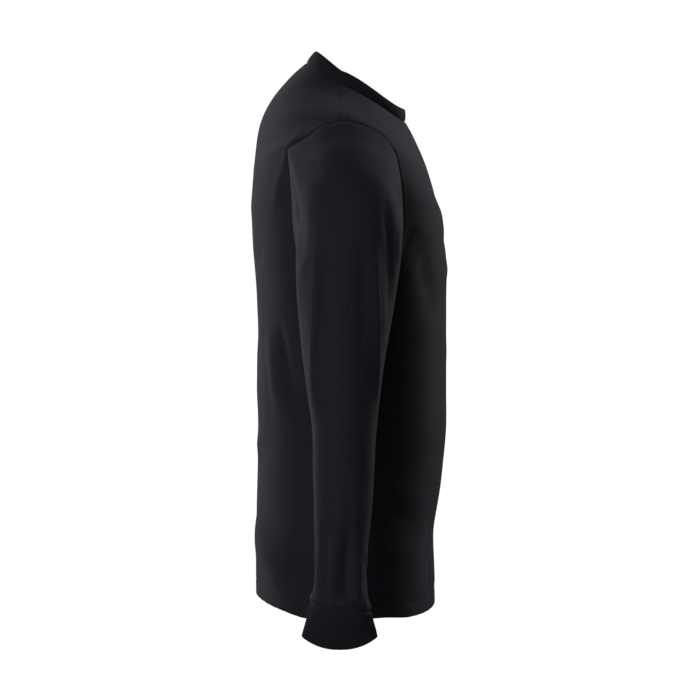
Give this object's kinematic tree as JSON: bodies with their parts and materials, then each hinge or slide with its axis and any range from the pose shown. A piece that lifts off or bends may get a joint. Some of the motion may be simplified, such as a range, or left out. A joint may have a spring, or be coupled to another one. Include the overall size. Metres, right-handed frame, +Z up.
{
  "type": "base layer top",
  "caption": "Long-sleeved base layer top with a crew neck band and rib cuffs, kept in the hollow shape it has when worn.",
  "frame": {"origin": "on the wearer's shoulder line, midway between the two points where a shoulder seam meets the neckline", "axes": "+Z up, -Y to the front of the garment, +X to the wearer's left"},
  "size_m": [0.6446, 0.261, 0.7607],
  "materials": {
    "cloth": "soft matt knit with a faint sheen",
    "rib": "matt rib knit"
  },
  "bodies": {
    "root": {"front_panel": "cloth", "back_panel": "cloth", "sleeve_right": "cloth", "sleeve_left": "cloth", "neck_band": "rib", "cuff_right": "rib", "cuff_left": "rib"}
  },
  "joints": []
}
